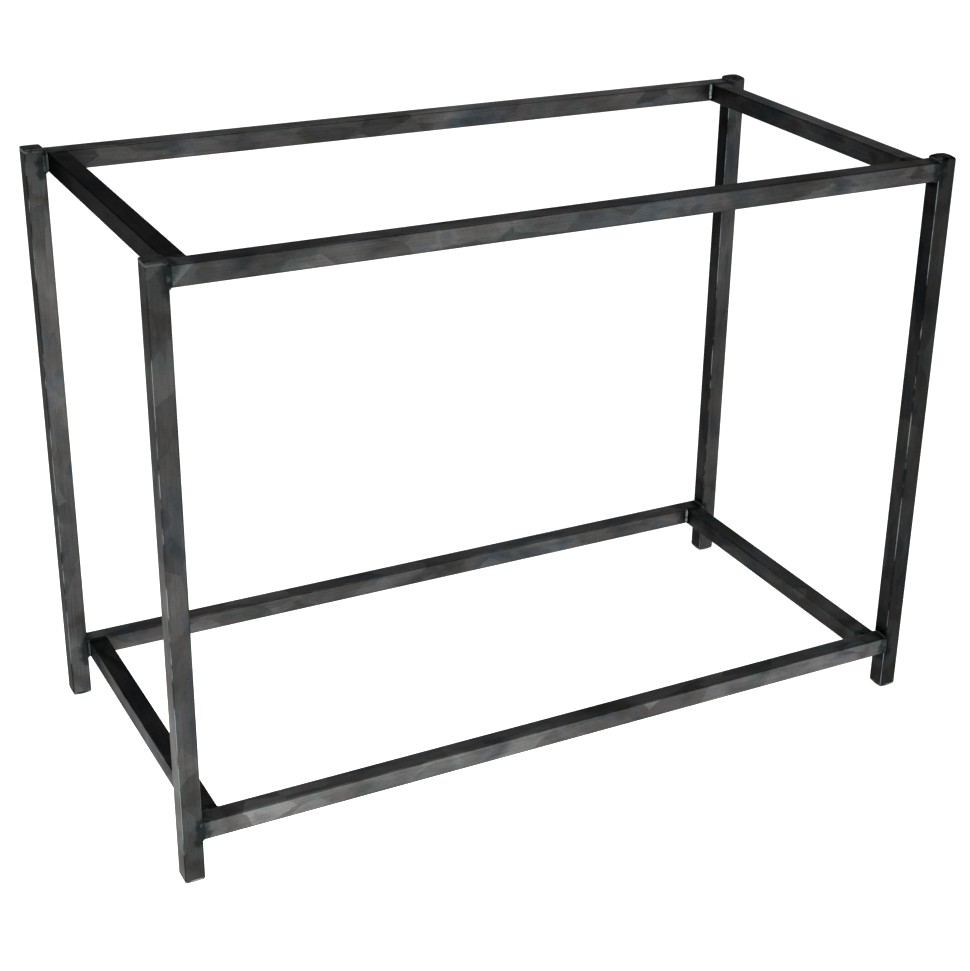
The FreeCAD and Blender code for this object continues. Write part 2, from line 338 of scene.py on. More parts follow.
def mill_scale_steel(name, axis, box, joints, seam_side, painted_side_levels, unevenness, seed):
    """Hot-finished mild-steel tube with its mill scale on.

    Rolling leaves a thin oxide skin: blue-grey, browning in patches, drawn into fine
    lines along the tube, glossy but never a mirror. Corners are worn to paler steel.
    Beside a weld the skin is burnt blue-black, then cleaned by the disc, then straw.
    Over all this go painted light and shade: by the way each side faces, darker with
    height on left sides, and darker at the corners.

    The joints are places along the tube, from its middle. The seam side is the side of a
    post that the rails meet, -1 or 1. It is 0 for a rail, whose welds are at its ends.
    """
    steel = bpy.context.scene.rack_steel
    material, tree, shader = new_material(name)
    low, high = box
    place = tube_space(tree, axis, middle(box))
    across = add(tree, "SeparateXYZ", {"Vector": place})
    side_u = add(tree, "Math", {0: across.outputs["X"]}, operation="ABSOLUTE")
    side_v = add(tree, "Math", {0: across.outputs["Y"]}, operation="ABSOLUTE")

    def uneven(level):
        return 1 + (level - 1) * unevenness

    # Patches of different oxide, about 45 mm wide and twice as long.
    stretched = add(tree, "Mapping", {"Vector": place, "Scale": (1, 1, SCALE_STRETCH)})
    patches = add(tree, "TexNoise", {
        "Vector": stretched, "W": seed, "Scale": 1 / (PATCH_SIZE * MM), "Detail": 4,
        "Roughness": 0.55, "Distortion": 0.7}, noise_dimensions="4D")
    tint = add(tree, "ValToRGB", {"Fac": patches}, stops=[
        (0.34, steel.scale_blue), (0.45, steel.scale_grey), (0.53, steel.scale_plum),
        (0.66, steel.scale_green)])

    # Lighter and darker clouds, about 30 mm wide and twice as long.
    clouds = add(tree, "TexNoise", {
        "Vector": stretched, "W": seed + CLOUD_SEED, "Scale": 1 / (CLOUD_SIZE * MM),
        "Detail": 5, "Roughness": 0.6, "Distortion": 0.4}, noise_dimensions="4D")
    cloud_light = add(tree, "ValToRGB", {"Fac": clouds}, stops=greys(
        (position, uneven(level)) for position, level in CLOUD_LIGHT))

    # Scale that let go of the steel in angular flakes, about 34 mm wide and twice as long.
    bent = add(tree, "VectorMath", {
        0: clouds.outputs["Color"], 1: (FLAKE_BEND * MM,) * 3, 2: stretched},
        operation="MULTIPLY_ADD")
    flakes = add(tree, "TexVoronoi", {
        "Vector": bent, "W": seed, "Scale": 1 / (FLAKE_SIZE * MM)}, voronoi_dimensions="4D")
    flake_light = add(tree, "MapRange", {
        "Value": add(tree, "SeparateXYZ", {"Vector": flakes.outputs["Color"]}),
        "To Min": uneven(0.68), "To Max": uneven(1.32)})

    # Drawing lines 1.3 mm apart and some 110 mm long.
    drawn = add(tree, "Mapping", {"Vector": place, "Scale": (1, 1, LINE_STRETCH)})
    lines = add(tree, "TexNoise", {
        "Vector": drawn, "W": seed + LINE_SEED, "Scale": 1 / (LINE_SPACING * MM), "Detail": 3,
        "Roughness": 0.65}, noise_dimensions="4D")
    line_light = add(tree, "MapRange", {
        "Value": lines, "From Min": NOISE_LOW, "From Max": NOISE_HIGH,
        "To Min": 0.78, "To Max": 1.22})

    # Grain and pits of the oxide, 2.2 mm and finer.
    grain = add(tree, "TexNoise", {
        "Vector": place, "W": seed + GRAIN_SEED, "Scale": 1 / (GRAIN_SIZE * MM), "Detail": 4,
        "Roughness": 0.7}, noise_dimensions="4D")
    pit_light = add(tree, "MapRange", {
        "Value": grain, "From Min": 0.28, "From Max": 0.42, "To Min": 0.45, "To Max": 1.0})

    # A slow drift in tone along the tube, over about 160 mm.
    drawn_far = add(tree, "Mapping", {"Vector": place, "Scale": (0.3, 0.3, 1)})
    drift = add(tree, "TexNoise", {
        "Vector": drawn_far, "W": seed + DRIFT_SEED, "Scale": 1 / (DRIFT_SIZE * MM),
        "Detail": 1}, noise_dimensions="4D")
    drift_light = add(tree, "MapRange", {
        "Value": drift, "From Min": NOISE_LOW, "From Max": NOISE_HIGH,
        "To Min": uneven(0.66), "To Max": uneven(1.34)})

    light = line_light
    for pattern in (pit_light, flake_light, drift_light):
        light = add(tree, "Math", {0: light, 1: pattern}, operation="MULTIPLY")
    coat = add(tree, "Mix", {"Factor": 1.0, "A": tint, "B": cloud_light},
               data_type="RGBA", blend_type="MULTIPLY")

    # How far a point is from the nearest weld, with a ragged front.
    ragged = add(tree, "TexNoise", {
        "Vector": place, "W": seed + FRAY_SEED, "Scale": 1 / (FRAY_SIZE * MM), "Detail": 3},
        noise_dimensions="4D")
    ways = []
    for joint in joints:
        offset = add(tree, "Math", {0: across.outputs["Z"], 1: joint}, operation="SUBTRACT")
        ways.append(add(tree, "Math", {0: offset}, operation="ABSOLUTE"))
    nearest = add(tree, "Math", {0: ways[0], 1: ways[1]}, operation="MINIMUM")
    if seam_side:
        # On a post the seam runs up its inner edge, beside the rail's end.
        half = (high.x - low.x) / 2
        above = add(tree, "Math", {0: nearest, 1: half}, operation="SUBTRACT")
        above = add(tree, "Math", {0: above, 1: 0.0}, operation="MAXIMUM")
        inward = add(tree, "Math", {0: across.outputs["X"], 1: seam_side * half},
                     operation="SUBTRACT")
        apart = add(tree, "CombineXYZ", {"X": inward, "Y": above})
        nearest = add(tree, "VectorMath", {0: apart}, operation="LENGTH").outputs["Value"]
    fray = add(tree, "MapRange", {
        "Value": ragged, "From Min": NOISE_LOW, "From Max": NOISE_HIGH,
        "To Min": -FRAY_REACH * MM, "To Max": FRAY_REACH * MM})
    heat = add(tree, "Math", {0: nearest, 1: fray}, operation="ADD")
    heat_share = add(tree, "MapRange", {
        "Value": heat, "From Min": HEAT_REACH[0] * MM, "From Max": HEAT_REACH[1] * MM})
    for levels, layer in ((CLEANED, steel.dressed), (STRAWED, steel.straw),
                          (SCORCHED, steel.burnt)):
        band = add(tree, "ValToRGB", {"Fac": heat_share}, stops=greys(levels))
        coat = add(tree, "Mix", {"Factor": band, "A": coat, "B": (*layer, 1)},
                   data_type="RGBA")

    # Corners painted darker than the sides, a painted shade, and worn to steel in broken lengths.
    corner = add(tree, "Math", {0: side_u, 1: side_v}, operation="MINIMUM")
    shade_rim = add(tree, "MapRange", {
        "Value": corner, "From Min": PAINTED_SHADE_RIM[0] * MM, "From Max": PAINTED_SHADE_RIM[1] * MM})
    edge = add(tree, "MapRange", {
        "Value": corner, "From Min": EDGE[0] * MM, "From Max": EDGE[1] * MM})
    wear = add(tree, "MapRange", {
        "Value": clouds, "From Min": 0.46, "From Max": 0.54, "To Min": 0.0, "To Max": 0.8})
    height = add(tree, "SeparateXYZ", {
        "Vector": add(tree, "TexCoord").outputs["Object"]}).outputs["Z"]
    risen = add(tree, "Math", {0: height, 1: CAD_BOX[1].z}, operation="DIVIDE")
    # Logs rub the posts' corners all the way up, and the rails' mostly near the floor.
    low_wear, high_wear = POST_WEAR if seam_side else RAIL_WEAR
    scuffed = add(tree, "MapRange", {
        "Value": risen, "To Min": low_wear, "To Max": high_wear})
    worn = add(tree, "Math", {0: edge, 1: wear}, operation="MULTIPLY")
    worn = add(tree, "Math", {0: worn, 1: scuffed}, operation="MULTIPLY")
    # Painted shade: the colour dims towards each corner.
    painted_corner_shade = add(tree, "MapRange", {"Value": shade_rim, "To Min": 1.0, "To Max": PAINTED_RIM_LEVEL})
    coat = add(tree, "VectorMath", {0: coat, "Scale": painted_corner_shade}, operation="SCALE")

    # Painted light and shade: each side is painted lighter or darker by the way it faces, and
    # left sides are painted darker with height.
    normal = add(tree, "NewGeometry").outputs["Normal"]
    facing = add(tree, "VectorMath", {0: normal, 1: (-1, -1, 1)}, operation="MULTIPLY")
    facing = add(tree, "VectorMath", {0: facing, 1: (0, 0, 0)}, operation="MAXIMUM")
    facing = add(tree, "VectorMath", {0: facing, 1: facing}, operation="MULTIPLY")
    beyond_plain = Vector(painted_side_levels) - Vector(grey(PAINTED_PLAIN_LIGHT))
    painted_facing_light = add(tree, "VectorMath", {0: facing, 1: beyond_plain}, operation="DOT_PRODUCT")
    painted_facing_light = add(tree, "Math", {0: painted_facing_light.outputs["Value"], 1: PAINTED_PLAIN_LIGHT},
                    operation="ADD")
    sideways = add(tree, "SeparateXYZ", {"Vector": facing}).outputs["X"]
    height_shade_ramp = add(tree, "ValToRGB", {"Fac": risen}, stops=greys(PAINTED_SHADE_BY_HEIGHT))
    painted_left_shade = add(tree, "Mix", {"Factor": sideways, "A": 1.0, "B": height_shade_ramp}, data_type="FLOAT")
    # The painted light and shade of the sides, times the scale's own light and dark patterns.
    finish = add(tree, "Math", {0: painted_left_shade, 1: painted_facing_light}, operation="MULTIPLY")
    finish = add(tree, "Math", {0: finish, 1: light}, operation="MULTIPLY")
    toned = add(tree, "VectorMath", {0: coat, "Scale": finish}, operation="SCALE")
    colour = add(tree, "Mix", {"Factor": worn, "A": toned, "B": (*steel.bare, 1)},
                 data_type="RGBA")

    # Light clouds are smoother, the drawing lines rougher, and worn corners polished.
    gloss = add(tree, "MapRange", {
        "Value": clouds, "From Min": NOISE_LOW, "From Max": NOISE_HIGH,
        "To Min": 0.42, "To Max": 0.28})
    matt = add(tree, "Math", {0: lines, 1: 0.16, 2: gloss}, operation="MULTIPLY_ADD")
    rough = add(tree, "Math", {0: worn, 1: -0.1, 2: matt}, operation="MULTIPLY_ADD")
    relief = add(tree, "Math", {0: grain, 1: 0.6, 2: lines}, operation="MULTIPLY_ADD")
    bump = add(tree, "Bump", {"Strength": 0.35, "Distance": 0.06 * MM, "Height": relief})
    set_inputs(tree, shader, {
        "Base Color": colour, "Roughness": rough, "Normal": bump, "Metallic": 1,
        "Specular Tint": (*grey(0.45), 1)})
    return material


def ground_steel(name, colour, edge_colour, tone, box_centre, seed):
    """Mild steel dressed with a flap disc.

    The disc leaves short fine scratches over grey steel, with a little of the blue-black
    oxide still in the low spots.
    """
    steel = bpy.context.scene.rack_steel
    material, tree, shader = new_material(name)
    coordinates = add(tree, "TexCoord")
    place = add(tree, "Mapping", {
        "Vector": coordinates.outputs["Object"], "Location": -box_centre,
        "Rotation": DISC_TURN})
    # Scratches 0.9 mm apart and some 22 mm long, coarser than a real disc's so that they show.
    swept = add(tree, "Mapping", {"Vector": place, "Scale": (1, SCRATCH_STRETCH, 1)})
    scratches = add(tree, "TexNoise", {
        "Vector": swept, "W": seed, "Scale": 1 / (SCRATCH_SPACING * MM), "Detail": 2,
        "Distortion": 0.3}, noise_dimensions="4D")
    # Low spots about 11 mm across, where the oxide stays.
    lows = add(tree, "TexNoise", {
        "Vector": place, "W": seed + LOW_SPOT_SEED, "Scale": 1 / (LOW_SPOT_SIZE * MM),
        "Detail": 4}, noise_dimensions="4D")
    blend = add(tree, "ValToRGB", {"Fac": lows}, stops=[
        (0.38, steel.burnt), (0.5, colour), (0.66, edge_colour)])
    light = add(tree, "MapRange", {
        "Value": scratches, "From Min": NOISE_LOW, "From Max": NOISE_HIGH,
        "To Min": 0.75 * tone, "To Max": 1.25 * tone})
    shade = add(tree, "VectorMath", {0: blend, "Scale": light}, operation="SCALE")
    rough = add(tree, "MapRange", {
        "Value": scratches, "From Min": NOISE_LOW, "From Max": NOISE_HIGH,
        "To Min": 0.3, "To Max": 0.5})
    bump = add(tree, "Bump", {"Strength": 0.4, "Distance": 0.05 * MM, "Height": scratches})
    set_inputs(tree, shader, {
        "Base Color": shade, "Roughness": rough, "Normal": bump, "Metallic": 1,
        "Specular Tint": (*grey(0.6), 1)})
    return material


def weld_bead_steel(name, colour, seed):
    """Weld metal as laid by wire feed, lightly brushed.

    It is bright on the backs of the ripples, with brown and blue-black oxide between them,
    and glossier in some spots than in others.
    """
    steel = bpy.context.scene.rack_steel
    material, tree, shader = new_material(name)
    place = add(tree, "TexCoord").outputs["Object"]
    # Oxide in spots about 5 mm across, thickest between the ripples.
    oxide = add(tree, "TexNoise", {
        "Vector": place, "W": seed, "Scale": 1 / (BEAD_SPOT_SIZE * MM), "Detail": 4},
        noise_dimensions="4D")
    hollows = add(tree, "NewGeometry").outputs["Pointiness"]
    ridge = add(tree, "MapRange", {"Value": hollows, "From Min": 0.46, "From Max": 0.54})
    mixed = add(tree, "Math", {0: oxide, 1: 2.4, 2: ridge}, operation="MULTIPLY_ADD")
    bright = add(tree, "MapRange", {"Value": mixed, "From Min": 1.4, "From Max": 2.0})
    blend = add(tree, "ValToRGB", {"Fac": bright}, stops=[
        (0.1, steel.burnt), (0.4, steel.straw), (0.75, colour)])
    rough = add(tree, "MapRange", {"Value": oxide, "To Min": 0.25, "To Max": 0.55})
    bump = add(tree, "Bump", {"Strength": 0.3, "Distance": 0.1 * MM, "Height": oxide})
    set_inputs(tree, shader, {
        "Base Color": blend, "Roughness": rough, "Normal": bump, "Metallic": 1})
    return material


def floor_laminate():
    """White laminate on a lit table: faintly cloudy, nearly matt, and brightest at front left,
    where a pool of light is painted into its glow.
    """
    stage = bpy.context.scene.rack_stage
    material, tree, shader = new_material("white_laminate")
    place = add(tree, "TexCoord").outputs["Object"]
    # Clouds about half a metre across, a hundredth darker than the rest.
    cloud = add(tree, "TexNoise", {"Vector": place, "Scale": 2, "Detail": 3})
    shade = add(tree, "ValToRGB", {"Fac": cloud}, stops=[
        (NOISE_LOW, [0.99 * level for level in stage.floor_colour]),
        (NOISE_HIGH, stage.floor_colour)])
    # A painted pool of light: the floor's glow rises towards the pool's centre.
    share = 1 / stage.painted_pool_reach
    centre = Vector((*stage.painted_pool_centre, 0))
    pool = add(tree, "Mapping", {
        "Vector": place, "Scale": (share,) * 3, "Location": -centre * share})
    lit = add(tree, "TexGradient", {"Vector": pool}, gradient_type="QUADRATIC_SPHERE")
    glow = add(tree, "MapRange", {
        "Value": lit, "To Min": stage.floor_glow,
        "To Max": stage.floor_glow + stage.painted_pool_glow})
    set_inputs(tree, shader, {
        "Base Color": shade, "Emission Color": shade, "Emission Strength": glow,
        "Roughness": 0.85, "Specular IOR Level": 0.1})
    return material


# ------------------------------------------------------------------------------ mesh tools

# How large a direction's part along an axis is when it runs along it, runs straight along
# it, or runs across it.
ALONG, STRAIGHT, ACROSS = 0.9, 0.99, 0.1


def deselect_all():
    if bpy.context.object and bpy.context.object.mode != "OBJECT":
        bpy.ops.object.mode_set(mode="OBJECT")
    bpy.ops.object.select_all(action="DESELECT")


def take(piece):
    """Makes one object the only one selected, and the active one."""
    deselect_all()
    piece.select_set(True)
    bpy.context.view_layer.objects.active = piece


def select_in_edit(piece, kind, test):
    """Selects, in edit mode, the faces or edges whose middle and direction pass a test."""
    bpy.ops.object.mode_set(mode="EDIT")
    bpy.ops.mesh.select_mode(type=kind)
    bpy.ops.mesh.select_all(action="DESELECT")
    bpy.ops.object.mode_set(mode="OBJECT")
    mesh = piece.data
    if kind == "FACE":
        for face in mesh.polygons:
            face.select = test(face.center, face.normal)
    else:
        for edge in mesh.edges:
            start, end = (mesh.vertices[index].co for index in edge.vertices)
            edge.select = test((start + end) / 2, (end - start).normalized())
    bpy.ops.object.mode_set(mode="EDIT")


def tidy_mesh():
    """Merges doubled corners and turns every face outwards, in edit mode."""
    bpy.ops.mesh.select_all(action="SELECT")
    bpy.ops.mesh.remove_doubles(threshold=0.001 * MM)
    bpy.ops.mesh.normals_make_consistent(inside=False)
    bpy.ops.object.mode_set(mode="OBJECT")


def apply_modifier(piece, kind, name, **settings):
    take(piece)
    modifier = piece.modifiers.new(name, kind)
    for key, value in settings.items():
        setattr(modifier, key, value)
    bpy.ops.object.modifier_apply(modifier=modifier.name)


def apply_place():
    bpy.ops.object.transform_apply(location=True, rotation=True, scale=True)


def copy_to(template, place):
    """A copy of a template with its own mesh, moved to a place that is then applied."""
    take(template)
    bpy.ops.object.duplicate(linked=False)
    copy = bpy.context.object
    copy.matrix_world = place
    apply_place()
    return copy


def join(pieces, name):
    deselect_all()
    for piece in pieces:
        piece.select_set(True)
    bpy.context.view_layer.objects.active = pieces[0]
    if len(pieces) > 1:
        bpy.ops.object.join()
    joined = bpy.context.object
    joined.name = joined.data.name = name
    return joined


def delete(*pieces):
    deselect_all()
    for piece in pieces:
        piece.select_set(True)
    bpy.ops.object.delete()


def finish_piece(piece, sharp_angle):
    """Smooths a piece but for its sharp edges, and hands it to the frame."""
    take(piece)
    bpy.ops.object.shade_smooth_by_angle(angle=math.radians(sharp_angle))
    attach(piece, "root")


def frame_of(x_axis, y_axis, z_axis, origin):
    """The matrix of a place with these axes."""
    matrix = Matrix((x_axis, y_axis, z_axis)).transposed().to_4x4()
    matrix.translation = origin
    return matrix


# ------------------------------------------------------------------------------ joints


def post_joint(ring, face, side):
    """Where a long rail meets its post.

    A bead is (corner, along, out): a point in the corner it fills, the way that the rail
    runs from there, and the way out of the rail's face. A seam is (spot, out, along): a
    point on the butt line, the way out of the face, and the way that the line runs.
    """
    low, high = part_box(f"{ring}_rail_{face}")
    seam_x = low.x if side == "left" else high.x
    inward = Vector((-SIDES[side], 0, 0))
    centre = middle((low, high))
    beads = [(Vector((seam_x, centre.y, level)), inward, Vector((0, 0, up)))
             for level, up in ((high.z, 1), (low.z, -1))]
    seams = [(Vector((seam_x, flush, centre.z)), Vector((0, out, 0)), Vector((0, 0, 1)))
             for flush, out in ((low.y, -1), (high.y, 1))]
    return beads, seams


def cross_joint(ring, face, side):
    """Where a cross rail meets its long rail, in the same terms as a post joint."""
    low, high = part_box(f"{ring}_cross_rail_{side}")
    seam_y = low.y if face == "front" else high.y
    inward = Vector((0, -FACES[face], 0))
    centre = middle((low, high))
    beads = [(Vector((flank, seam_y, centre.z)), inward, Vector((out, 0, 0)))
             for flank, out in ((low.x, -1), (high.x, 1))]
    seams = [(Vector((centre.x, seam_y, level)), Vector((0, 0, up)), Vector((1, 0, 0)))
             for level, up in ((high.z, 1), (low.z, -1))]
    return beads, seams


# ------------------------------------------------------------------------------ welds


BEAD_SIDES = 14
RINGS_PER_RIPPLE = 3
BEAD_BLUNTNESS = 6      # the higher, the longer a bead keeps its full width
BEAD_TIP = 0.985        # how far out a bead goes on narrowing, as a share of its half length
SEAM_CUTS = 9
SEAM_SLOPE = 4          # how wide a seam's sloping border is, in rises
SEAM_TONE = 0.7
SEAM_GAP = 1 * MM       # how much shorter a seam is than the tube's side
UNEVENNESS_SIZE = 3 * MM
UNEVENNESS_DEPTH = 0.5 * MM


def model_bead(sizes):
    """One fillet bead along Z, its round back towards +X, built ripple by ripple."""
    ripples = round(sizes.bead_length / sizes.ripple_pitch)
    count = ripples * RINGS_PER_RIPPLE
    step = sizes.bead_length / count

    def radius(ring):
        along = abs(2 * ring / count - 1)
        swell = (1 - min(along, BEAD_TIP) ** BEAD_BLUNTNESS) ** 0.5
        ripple = 1 - sizes.ripple_depth * (ring % RINGS_PER_RIPPLE) / RINGS_PER_RIPPLE
        return sizes.bead_radius * swell * ripple

    deselect_all()
    bpy.ops.mesh.primitive_circle_add(
        vertices=BEAD_SIDES, radius=radius(0), fill_type="NGON",
        location=(-sizes.bead_sink, 0, -sizes.bead_length / 2),
        rotation=(0, sizes.ripple_tilt, 0))
    bead = bpy.context.object
    bead.name = "bead_template"
    apply_place()
    bpy.ops.object.mode_set(mode="EDIT")
    bpy.ops.mesh.select_all(action="SELECT")
    for ring in range(1, count + 1):
        bpy.ops.mesh.extrude_region_move(TRANSFORM_OT_translate={"value": (0, 0, step)})
        share = radius(ring) / radius(ring - 1)
        bpy.ops.transform.resize(
            value=(share, share, share),
            center_override=(-sizes.bead_sink, 0, ring * step - sizes.bead_length / 2))
    tidy_mesh()
    apply_modifier(bead, "SUBSURF", "soften", levels=1, render_levels=1)
    return bead


def model_seam(sizes, length):
    """One dressed butt seam along Z, its ground face towards +Y, melting into the tubes."""
    depth = sizes.seam_depth + sizes.seam_rise
    deselect_all()
    bpy.ops.mesh.primitive_cube_add(
        size=1, location=(0, sizes.seam_rise - depth / 2, 0),
        scale=(sizes.seam_width, depth, length))
    seam = bpy.context.object
    seam.name = "seam_template"
    apply_place()
    select_in_edit(seam, "FACE", lambda centre, normal: normal.y > ALONG)
    bpy.ops.mesh.inset(thickness=sizes.seam_rise * SEAM_SLOPE)
    bpy.ops.transform.translate(value=(0, sizes.seam_rise, 0))
    select_in_edit(seam, "EDGE", lambda centre, run: abs(run.z) > ALONG)
    bpy.ops.mesh.subdivide(number_cuts=SEAM_CUTS)
    tidy_mesh()
    apply_modifier(seam, "SUBSURF", "soften", levels=2, render_levels=2)
    return seam


class RACK_OT_welds(bpy.types.Operator):
    """Lays the fillet beads and dressed seams of all sixteen joints"""
    bl_idname = "rack.welds"
    bl_label = "Welds"

    def execute(self, context):
        steel = context.scene.rack_steel
        sizes = context.scene.rack_welds
        low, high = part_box("top_rail_front")
        bead = model_bead(sizes)
        seam = model_seam(sizes, high.z - low.z - SEAM_GAP)
        rough = bpy.data.textures.new("weld_unevenness", "CLOUDS")
        rough.noise_scale = UNEVENNESS_SIZE
        brushed = weld_bead_steel("weld_bead_brushed", steel.bead_bright, seed=2)
        oxidised = weld_bead_steel("weld_bead_oxidised", steel.bead, seed=5)
        for number, (ring, face, side) in enumerate(JOINTS):
            for kind, find in (("post", post_joint), ("cross", cross_joint)):
                beads, seams = find(ring, face, side)
                ground = ground_steel(
                    f"dressed_seam_{ring}_{face}_{side}_{kind}", steel.burnt, steel.scale_blue,
                    SEAM_TONE, seams[0][0], seed=number + 0.5)
                parts = []
                for corner, along, out in beads:
                    back = (along + out).normalized()
                    lay = along.cross(out)
                    part = copy_to(bead, frame_of(back, lay.cross(back), lay, corner))
                    apply_modifier(part, "DISPLACE", "unevenness", texture=rough,
                                   texture_coords="GLOBAL", strength=UNEVENNESS_DEPTH)
                    # Beads at the right cross joints take the bright metal: partly brushed weld
                    # metal, partly a painted highlight up those inner corners.
                    part.data.materials.append(
                        brushed if kind == "cross" and side == "right" else oxidised)
                    parts.append(part)
                for spot, out, along in seams:
                    part = copy_to(seam, frame_of(out.cross(along), out, along, spot))
                    part.data.materials.append(ground)
                    parts.append(part)
                piece = join(parts, f"welded_joint_{ring}_{face}_{side}_{kind}")
                finish_piece(piece, sharp_angle=60)
                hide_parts(f"weld_{ring}_{face}_{side}_{kind}")
        delete(bead, seam)
        return {"FINISHED"}


DROP_SEED = 11
DROP_REACH = (8, 55)        # how far from a joint drops land, in millimetres
DROP_SPREAD = 0.34          # how far off a tube's middle line, as a share of its width
DROP_SCALE = (0.5, 1.15)    # the smallest and the largest drop beside the drawn one
DROP_FALL = 0.6             # how far down a post drops land, as a share of their reach
DROP_HEIGHT = 0.75          # how high a drop stands beside a round one
DROP_FOOT = 0.25            # how far below its middle a drop is cut flat, in drop radii


def model_drop(sizes):
    """One drop of spatter: a low dome with a flat foot, standing on Z."""
    deselect_all()
    bpy.ops.mesh.primitive_uv_sphere_add(segments=8, ring_count=6, radius=sizes.drop_size)
    drop = bpy.context.object
    drop.name = "drop_template"
    bpy.ops.object.mode_set(mode="EDIT")
    bpy.ops.mesh.select_all(action="SELECT")
    bpy.ops.transform.resize(value=(1, 1, DROP_HEIGHT), center_override=(0, 0, 0))
    bpy.ops.mesh.bisect(
        plane_co=(0, 0, -DROP_FOOT * sizes.drop_size), plane_no=(0, 0, -1),
        clear_outer=True, use_fill=True)
    tidy_mesh()
    return drop


class RACK_OT_spatter(bpy.types.Operator):
    """Scatters drops of spatter on the tubes around each joint"""
    bl_idname = "rack.spatter"
    bl_label = "Spatter"

    def execute(self, context):
        steel = context.scene.rack_steel
        sizes = context.scene.rack_welds
        drop = model_drop(sizes)
        finish = weld_bead_steel("weld_spatter", steel.bead, seed=9)
        drop.data.materials.append(finish)
        chance = random.Random(DROP_SEED)
        for ring, face, side in JOINTS:
            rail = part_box(f"{ring}_rail_{face}")
            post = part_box(f"post_{face}_{side}")
            drops = []
            for number in range(sizes.drops_per_joint):
                on_rail = number % 2 == 0
                reach = chance.uniform(*DROP_REACH) * MM
                across = chance.uniform(-DROP_SPREAD, DROP_SPREAD)
                scale = chance.uniform(*DROP_SCALE)
                turn = chance.uniform(0, math.tau)
                out = Vector((0, FACES[face], 0))
                level = middle(rail).z
                width = rail[1].z - rail[0].z
                if on_rail:
                    edge = rail[0].x if side == "left" else rail[1].x
                    spot = Vector((edge - SIDES[side] * reach, 0, level + across * width))
                else:
                    spot = Vector((middle(post).x + across * width, 0,
                                   level - width / 2 - reach * DROP_FALL))
                spot.y = post[0].y if face == "front" else post[1].y
                place = (Matrix.Translation(spot)
                         @ out.to_track_quat("Z", "Y").to_matrix().to_4x4()
                         @ Matrix.Rotation(turn, 4, "Z") @ Matrix.Diagonal((scale,) * 3).to_4x4())
                drops.append(copy_to(drop, place))
            piece = join(drops, f"spatter_{ring}_{face}_{side}")
            finish_piece(piece, sharp_angle=80)
        delete(drop)
        return {"FINISHED"}


# ------------------------------------------------------------------------------ end plates


CORNER_STEPS = 4
FLAT_CUTS = 7           # cuts in each flat side, so that it can bend towards a circle
ROUNDING_STEPS = 8


def model_plate(box, sizes, rounding, roundness, outer):
    """A closing plate in its box, ground round on its outer side (+1 up or -1 down)."""
    low, high = box
    centre = middle(box)
    half = (high.x - low.x) / 2
    seat_z, face_z = (low.z, high.z) if outer > 0 else (high.z, low.z)
    shoulder_z = face_z - outer * rounding
    deselect_all()
    bpy.ops.mesh.primitive_cube_add(
        size=1, location=(centre.x, centre.y, (seat_z + shoulder_z) / 2),
        scale=(2 * half, 2 * half, abs(shoulder_z - seat_z)))
    plate = bpy.context.object
    apply_place()
    select_in_edit(plate, "EDGE", lambda spot, run: abs(run.z) > ALONG)
    bpy.ops.mesh.bevel(offset=sizes.corner, segments=CORNER_STEPS, affect="EDGES")
    select_in_edit(plate, "EDGE", lambda spot, run: max(abs(run.x), abs(run.y)) > STRAIGHT)
    bpy.ops.mesh.subdivide(number_cuts=FLAT_CUTS)

    # The outer edge turns over in a quarter round, step by step, and nears a circle.
    select_in_edit(plate, "FACE", lambda spot, normal: normal.z * outer > ALONG)
    reach, rise = half, 0.0
    for step in range(1, ROUNDING_STEPS + 1):
        turn = step / ROUNDING_STEPS * math.pi / 2
        new_reach = half - rounding * (1 - math.cos(turn))
        new_rise = rounding * math.sin(turn)
        bpy.ops.mesh.extrude_region_move(
            TRANSFORM_OT_translate={"value": (0, 0, outer * (new_rise - rise))})
        bpy.ops.transform.resize(
            value=(new_reach / reach, new_reach / reach, 1), center_override=centre)
        bpy.ops.transform.tosphere(
            value=roundness * (step / ROUNDING_STEPS) ** 2 / 2,
            center_override=(centre.x, centre.y, shoulder_z + outer * new_rise))
        reach, rise = new_reach, new_rise

    # The line where plate and post meet, drawn in by a shallow groove.
    groove_z = seat_z + outer * sizes.groove_height
    waist_z = (groove_z + seat_z) / 2
    for level in (groove_z, waist_z):
        bpy.ops.mesh.select_all(action="SELECT")
        bpy.ops.mesh.bisect(plane_co=(0, 0, level), plane_no=(0, 0, 1))
    select_in_edit(
        plate, "EDGE",
        lambda spot, run: abs(spot.z - waist_z) < 0.01 * MM and abs(run.z) < ACROSS)
    shrink = 1 - sizes.groove / half
    bpy.ops.transform.resize(value=(shrink, shrink, 1), center_override=centre)
    tidy_mesh()
    return plate


def make_plates(context, kind, outer):
    """Grinds the four plates of one kind and puts them in their nodes' places."""
    sizes = context.scene.rack_plates
    steel = context.scene.rack_steel
    for number, (face, side) in enumerate(CORNERS):
        node = f"{kind}_{face}_{side}"
        # Each plate's lightness paints in the light and shade that falls on it.
        rounding, roundness, tone = END_PLATES[node]
        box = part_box(node)
        plate = model_plate(box, sizes, rounding * MM, roundness, outer)
        plate.name = plate.data.name = f"ground_{node}"
        plate.data.materials.append(ground_steel(
            f"ground_plate_{node}", steel.scale_grey, steel.dressed, tone, middle(box),
            seed=number + 20))
        finish_piece(plate, sharp_angle=50)
        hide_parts(node)


class RACK_OT_caps(bpy.types.Operator):
    """Welds a ground cap on top of each post"""
    bl_idname = "rack.caps"
    bl_label = "Post caps"

    def execute(self, context):
        make_plates(context, "post_cap", 1)
        return {"FINISHED"}


